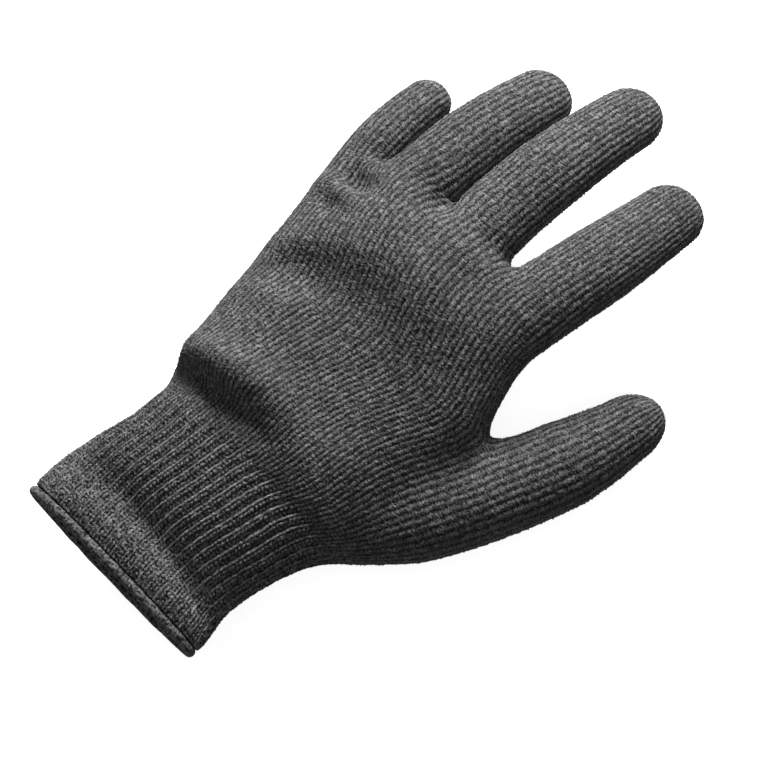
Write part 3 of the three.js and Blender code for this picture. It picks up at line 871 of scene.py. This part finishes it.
class Shader:
    """Short names for the nodes of one material."""

    def __init__(self, name):
        self.material = bpy.data.materials.new(name)
        self.material.use_nodes = True
        self.tree = self.material.node_tree
        self.skin = self.tree.nodes["Principled BSDF"]

    def node(self, kind, inputs=None, **settings):
        node = self.tree.nodes.new(kind)
        for name, value in settings.items():
            setattr(node, name, value)
        for name, value in (inputs or {}).items():
            self.put(node.inputs[name], value)
        return node

    def put(self, socket, value):
        if isinstance(value, bpy.types.NodeSocket):
            self.tree.links.new(value, socket)
        else:
            socket.default_value = value

    def math(self, operation, a, b=0.0, c=0.0, clamp=False):
        node = self.node("ShaderNodeMath", {0: a, 1: b, 2: c}, operation=operation, use_clamp=clamp)
        return node.outputs[0]

    def span(self, value, low, high, to_low=0.0, to_high=1.0):
        node = self.node("ShaderNodeMapRange", {
            "Value": value, "From Min": low, "From Max": high, "To Min": to_low, "To Max": to_high,
        })
        return node.outputs[0]

    def blend(self, share, a, b, mode="MIX"):
        node = self.node("ShaderNodeMix", data_type="RGBA", blend_type=mode)
        self.put(node.inputs["Factor"], share)
        self.put(node.inputs["A"], a)
        self.put(node.inputs["B"], b)
        return node.outputs["Result"]

    def ridge(self, x):
        """One rounded ridge to each whole step of x, from 0 to 1."""
        folded = self.math("MULTIPLY_ADD", self.math("FRACT", x), 2.0, -1.0)
        return self.math("SUBTRACT", 1.0, self.math("ABSOLUTE", folded))

    def noise(self, vector, scale, detail, low=0.3, high=0.7, to_low=0.0, to_high=1.0):
        inputs = {"Vector": vector, "Scale": scale, "Detail": detail}
        node = self.node("ShaderNodeTexNoise", inputs)
        return self.span(node.outputs["Fac"], low, high, to_low, to_high)

    def stitch_places(self):
        """Numbers along the wales and courses, and the place in the solid."""
        place = self.node("ShaderNodeUVMap", uv_map="stitches").outputs[0]
        parts = self.node("ShaderNodeSeparateXYZ", {0: place}).outputs
        return parts[0], parts[1], self.node("ShaderNodeTexCoord").outputs["Object"]

    def yarn_tone(self, solid):
        """Heather of dark and light fibres."""
        return self.blend(self.noise(solid, HEATHER_SCALE, 2.0, 0.38, 0.62), YARN_DARK, YARN)

    def dress(self, colour, raised, roughness, sheen_tint):
        """Dull wool on the material: its colour and the height of its stitches."""
        bump = self.node("ShaderNodeBump", {
            "Strength": 0.9, "Distance": STITCH_BUMP * MM, "Height": raised,
        })
        inputs = {
            "Base Color": colour, "Normal": bump.outputs[0], "Roughness": roughness,
            "Specular IOR Level": 0.15, "Sheen Weight": 0.12, "Sheen Roughness": 0.6,
            "Sheen Tint": sheen_tint,
        }
        for name, value in inputs.items():
            self.put(self.skin.inputs[name], value)


YARN = (0.270, 0.265, 0.264, 1.0)
YARN_DARK = (0.140, 0.137, 0.136, 1.0)
# Painted shade: the dark that the low places between the stitches and between the turns of the
# thread are coloured.
GAP_SHADE = (0.016, 0.015, 0.016, 1.0)
WOOL_SHEEN, THREAD_SHEEN = (0.6, 0.59, 0.58, 1.0), (1.0, 1.0, 1.0, 1.0)
# Depth of the finest relief in millimetres.
STITCH_BUMP = 0.25
# Scales of the noise, in features to a metre: wandering wales, fuzz, heather and light patches.
WANDER_SCALE, HEATHER_SCALE, PATCH_SCALE, SPECK_SCALE = 300.0, 420.0, 28.0, 900.0
CUFF_FUZZ_SCALE, HAND_FUZZ_SCALE = 1300.0, 1500.0
# Strength of the fuzz, wander of a wale as a share of its breadth, and beads drawn to a course.
CUFF_FUZZ, HAND_FUZZ = 0.34, 0.38
WANDER, STITCHES_A_COURSE = 0.16, 1.5
# Courses over which the hem, where painted light and shade follow the height of the yarn and its
# fuzz, turns into ribs.
HEM_END = (6.0, 17.0)
# Least height of a painted bead and sharpness of a wale: of a rib and added in its smooth wale, and
# of the hand.
RIB_LEAST, RIB_SHARPNESS = (0.05, 0.55), (0.8, 0.6)
HAND_LEAST, HAND_SHARPNESS = 0.4, 0.9
# Heights between which the painted shade of the gaps gives way to yarn, and the lightness of the
# darkest and lightest stitch.
GAP_SHADE_HEIGHTS, STITCH_TONES = (0.04, 0.68), (0.65, 1.12)
# Shares of a rib where its groove is full and where it ends, with the lightness at both: painted
# shade in the groove and painted light on the raised rib.
GROOVE, RIB_LIGHT_GROOVE_SHADE = (0.8, 0.64), (0.8, 1.3)
# Lightness of the patches on cuff and hand, and the painted light and shade that the fuzz adds,
# lighter where it is raised and darker where it sinks.
CUFF_PATCHES, HAND_PATCHES, FUZZ_LIGHT = (1.0, 1.2), (0.88, 1.08), 0.22


def knit_material(name, cuff=False, purl=False):
    """Fuzzy yarn in knit stitches, laid out along the wales and courses."""
    shader = Shader(name)
    math_, span, noise = shader.math, shader.span, shader.noise
    wale, course, solid = shader.stitch_places()
    shift = noise(solid, WANDER_SCALE, 1.0, to_low=-WANDER, to_high=WANDER)
    u = math_("ADD", wale, shift)
    v = math_("ADD", course, math_("MULTIPLY", shift, 2.0))
    across = math_("SUBTRACT", math_("FRACT", u), 0.5)
    lean = math_("MULTIPLY", math_("ABSOLUTE", across), 2.0)
    slanted = math_("SUBTRACT", v, math_("MULTIPLY", lean, 0.0 if purl else LEG_SLANT))
    fuzz = noise(solid, CUFF_FUZZ_SCALE if cuff else HAND_FUZZ_SCALE, 2.0, to_low=-1.0)
    rib_share = math_("FRACT", math_("DIVIDE", wale, RIB_WALES))
    if cuff:
        smooth_wale = math_("LESS_THAN", rib_share, 1 / RIB_WALES)
        least = math_("MULTIPLY_ADD", smooth_wale, RIB_LEAST[1], RIB_LEAST[0])
        bead = shader.ridge(math_("MULTIPLY_ADD", math_("FRACT", u), 0.5, v))
        bead = math_("MULTIPLY_ADD", bead, math_("SUBTRACT", 1.0, least), least)
        sharpness = math_("MULTIPLY_ADD", smooth_wale, RIB_SHARPNESS[1], RIB_SHARPNESS[0])
    else:
        slanted = math_("MULTIPLY", slanted, STITCHES_A_COURSE)
        bead = math_("MULTIPLY_ADD", shader.ridge(slanted), 1 - HAND_LEAST, HAND_LEAST)
        sharpness = HAND_SHARPNESS
    column = math_("POWER", shader.ridge(u), sharpness)
    stitch = math_("MULTIPLY", column, bead)
    raised = math_("MULTIPLY_ADD", fuzz, CUFF_FUZZ if cuff else HAND_FUZZ, stitch)

    # Every stitch has its own lightness, and the low places between the stitches are painted dark
    # as shade.
    cell = shader.node("ShaderNodeCombineXYZ", {
        0: math_("FLOOR", wale), 1: math_("FLOOR", slanted), 2: 0.5,
    }).outputs[0]
    random = shader.node("ShaderNodeTexWhiteNoise", {"Vector": cell}).outputs["Value"]
    # Painted shade: the lower the yarn, the nearer its colour to the dark of the gaps.
    shade_and_tone = math_("MULTIPLY", span(raised, *GAP_SHADE_HEIGHTS), span(random, 0.0, 1.0, *STITCH_TONES))
    if cuff:
        # Painted shade in the grooves between the ribs and painted light on the ribs, and at the
        # hem an even mottle of painted light and shade that follows the height of the yarn and its
        # fuzz.
        shade_and_tone = math_("MULTIPLY", shade_and_tone, span(rib_share, *GROOVE, *RIB_LIGHT_GROOVE_SHADE))
        # Painted light and shade at the hem: lighter where yarn and fuzz are high, darker where
        # they are low.
        hem_height_shade = span(math_("MULTIPLY_ADD", fuzz, 0.6, raised), -0.15, 0.5)
        hem = span(course, *HEM_END, 1.0, 0.0)
        shade_and_tone = math_("MULTIPLY", shade_and_tone, math_("SUBTRACT", 1.0, hem))
        shade_and_tone = math_("ADD", math_("MULTIPLY", hem_height_shade, hem), shade_and_tone)
    colour = shader.blend(shade_and_tone, GAP_SHADE, shader.yarn_tone(solid))
    darkest, lightest = CUFF_PATCHES if cuff else HAND_PATCHES
    patches = noise(solid, PATCH_SCALE, 3.0, to_low=darkest, to_high=lightest)
    # The fuzz paints light on its raised fibres and shade where it sinks.
    light = math_("MULTIPLY", patches, math_("MULTIPLY_ADD", fuzz, FUZZ_LIGHT, 1.0))
    grey = shader.node("ShaderNodeCombineColor", {0: light, 1: light, 2: light}).outputs[0]
    shader.dress(shader.blend(1.0, colour, grey, "MULTIPLY"), raised, 0.92, WOOL_SHEEN)
    return shader.material


def thread_material(name):
    """Whipped thread: slanting turns side by side round the hem."""
    shader = Shader(name)
    along, around, solid = shader.stitch_places()
    turns = shader.ridge(shader.math("ADD", along, around))
    specks = shader.noise(solid, SPECK_SCALE, 2.0, to_low=-0.8, to_high=0.8)
    raised = shader.math("ADD", shader.math("MULTIPLY_ADD", turns, 0.4, 0.4), specks)
    # Painted shade: the low places between the turns of the thread take the dark of the gaps.
    colour = shader.blend(shader.span(raised, 0.1, 0.9), GAP_SHADE, shader.yarn_tone(solid))
    shader.dress(colour, raised, 0.9, THREAD_SHEEN)
    return shader.material


hand_knit = knit_material("hand_knit")
cuff_knit = knit_material("cuff_knit", cuff=True)
inside_knit = knit_material("inside_knit", purl=True)

NODES = {
    "cuff": "rib_cuff", "hand_back": "hand_body", "hand_palm": "hand_body",
    "little": "little_finger", "ring": "ring_finger", "middle": "middle_finger",
    "index": "index_finger", "thumb": "thumb",
}


def add_piece(name, mesh, node, materials):
    piece = bpy.data.objects.new(name, mesh)
    bpy.context.collection.objects.link(piece)
    for material in materials:
        mesh.materials.append(material)
    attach(piece, "root")
    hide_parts(node)
    return piece


for label, part_name in enumerate(LABELS):
    outer_knit = cuff_knit if part_name == "cuff" else hand_knit
    add_piece(part_name + "_knit", piece_mesh(part_name + "_knit", label), NODES[part_name],
              [outer_knit, inside_knit])

# Edge of the cuff: a rolled hem with thread whipped round it.
EDGE_TURNS = 150
EDGE_SIDES = 24
EDGE_STEPS = EDGE_TURNS * 6
# Middle of the bead inside the hem in millimetres, and shares of its half size.
EDGE_INSET, EDGE_FULLNESS, TURN_RELIEF, UNEVENNESS = 1.3, 0.8, 0.04, 0.07


def edge_mesh():
    """Bead round the hem, with a slanting ridge for each turn of the thread."""
    ring = trunk.ring(EDGE_HEIGHT / 2, np.arange(EDGE_STEPS) / EDGE_STEPS)
    after, before = np.roll(ring, -1, 0), np.roll(ring, 1, 0)
    along = (after - before) / np.linalg.norm(after - before, axis=1)[:, None]
    outward = np.cross(along, [0, 1, 0])
    outward *= np.sign((outward * (ring - ring.mean(0))).sum(1))[:, None]
    centre = ring - outward * EDGE_INSET
    turns = np.arange(EDGE_STEPS) / EDGE_STEPS * EDGE_TURNS
    knots = np.random.default_rng(11).uniform(-UNEVENNESS, UNEVENNESS, EDGE_TURNS // 2)
    uneven = np.interp(turns / 2, np.arange(len(knots) + 1), np.append(knots, knots[0]))
    places = []
    for j in range(EDGE_SIDES):
        angle = j / EDGE_SIDES * 2 * math.pi
        wave = np.abs(np.sin(math.pi * (turns + j / EDGE_SIDES)))
        size = EDGE_FULLNESS + TURN_RELIEF * np.sqrt(wave) + uneven
        across = EDGE_THICKNESS / 2 * math.cos(angle) * size
        height = EDGE_HEIGHT / 2 * math.sin(angle) * size
        places.append(centre + outward * across[:, None] + np.array([0, 1, 0]) * height[:, None])
    places = np.array(places).transpose(1, 0, 2).reshape(-1, 3)
    faces, coords = [], []
    for i in range(EDGE_STEPS):
        for j in range(EDGE_SIDES):
            here, there = i * EDGE_SIDES, (i + 1) % EDGE_STEPS * EDGE_SIDES
            next_side = (j + 1) % EDGE_SIDES
            faces.append((here + j, here + next_side, there + next_side, there + j))
            u0, u1 = i / EDGE_STEPS * EDGE_TURNS, (i + 1) / EDGE_STEPS * EDGE_TURNS
            v0, v1 = j / EDGE_SIDES, (j + 1) / EDGE_SIDES
            coords.extend([(u0, v0), (u0, v1), (u1, v1), (u1, v0)])
    return new_mesh("cuff_edge_thread", places, faces, coords)


add_piece("cuff_edge_thread", edge_mesh(), "cuff_edge", [thread_material("edge_thread")])

# Floor, lights and camera
FLOOR_HALF, FLOOR_DROP = 4.0, -0.0275
FLOOR_WHITE, FLOOR_GLOW, FLOOR_ROUGHNESS = 0.92, 0.88, 0.9
WORLD_LIGHT = 0.04
WHITE = (1.0, 1.0, 1.0, 1.0)
floor_mesh = bpy.data.meshes.new("floor")
floor_corners = [(-FLOOR_HALF, -FLOOR_HALF), (FLOOR_HALF, -FLOOR_HALF),
                 (FLOOR_HALF, FLOOR_HALF), (-FLOOR_HALF, FLOOR_HALF)]
floor_mesh.from_pydata([(x, y, FLOOR_DROP) for x, y in floor_corners], [], [(0, 1, 2, 3)])
floor = bpy.data.objects.new("floor", floor_mesh)
bpy.context.collection.objects.link(floor)
floor_paint = Shader("floor_paint")
floor_paint.skin.inputs["Base Color"].default_value = (FLOOR_WHITE, FLOOR_WHITE, FLOOR_WHITE, 1.0)
floor_paint.skin.inputs["Roughness"].default_value = FLOOR_ROUGHNESS
floor_paint.skin.inputs["Emission Color"].default_value = WHITE
floor_paint.skin.inputs["Emission Strength"].default_value = FLOOR_GLOW
floor_mesh.materials.append(floor_paint.material)
floor.visible_diffuse = False

world = bpy.data.worlds.new("studio")
bpy.context.scene.world = world
world.use_nodes = True
world.node_tree.nodes["Background"].inputs["Color"].default_value = WHITE
world.node_tree.nodes["Background"].inputs["Strength"].default_value = WORLD_LIGHT
bpy.context.scene.view_settings.view_transform = "Standard"

VIEW_AZIMUTH, VIEW_ELEVATION = math.radians(46.0), math.radians(72.0)
VIEW_TARGET = Vector((13.0754, 109.9878, 0.0)) * MM
VIEW_DISTANCE = 1.0
VIEW_LENS, VIEW_SENSOR, VIEW_REACH = 143.43, 36.0, 20.0
back_way = Vector((
    math.sin(VIEW_AZIMUTH) * math.cos(VIEW_ELEVATION),
    -math.cos(VIEW_AZIMUTH) * math.cos(VIEW_ELEVATION),
    math.sin(VIEW_ELEVATION),
))
right_way = Vector((math.cos(VIEW_AZIMUTH), math.sin(VIEW_AZIMUTH), 0.0))
up_way = back_way.cross(right_way)


def turned(right, up, back):
    """Matrix that turns the axes to three directions."""
    return Matrix((right, up, back)).transposed().to_4x4()


camera_data = bpy.data.cameras.new("camera")
camera_data.lens = VIEW_LENS
camera_data.sensor_width = VIEW_SENSOR
camera_data.clip_end = VIEW_REACH
camera = bpy.data.objects.new("camera", camera_data)
camera.matrix_world = Matrix.Translation(VIEW_TARGET + back_way * VIEW_DISTANCE) @ turned(
    right_way, up_way, back_way)
bpy.context.collection.objects.link(camera)
bpy.context.scene.camera = camera


def add_light(name, place, size, power):
    """Soft square light at a place given to the right, up and back from the target."""
    data = bpy.data.lights.new(name, "AREA")
    data.shape = "SQUARE"
    data.size = size
    data.energy = power
    light = bpy.data.objects.new(name, data)
    way = right_way * place[0] + up_way * place[1] + back_way * place[2]
    light.location = VIEW_TARGET + way
    light.rotation_euler = way.to_track_quat("Z", "Y").to_euler()
    bpy.context.collection.objects.link(light)


# Place to the right, up and back from the target in metres, size in metres and power in watts.
LIGHTS = {
    "key_light": ((0.08, 0.69, 0.18), 0.26, 8.3),
    "top_light": ((0.0, 0.0, 1.6), 1.2, 3.8),
}
for light_name, (light_place, light_size, light_power) in LIGHTS.items():
    add_light(light_name, light_place, light_size, light_power)
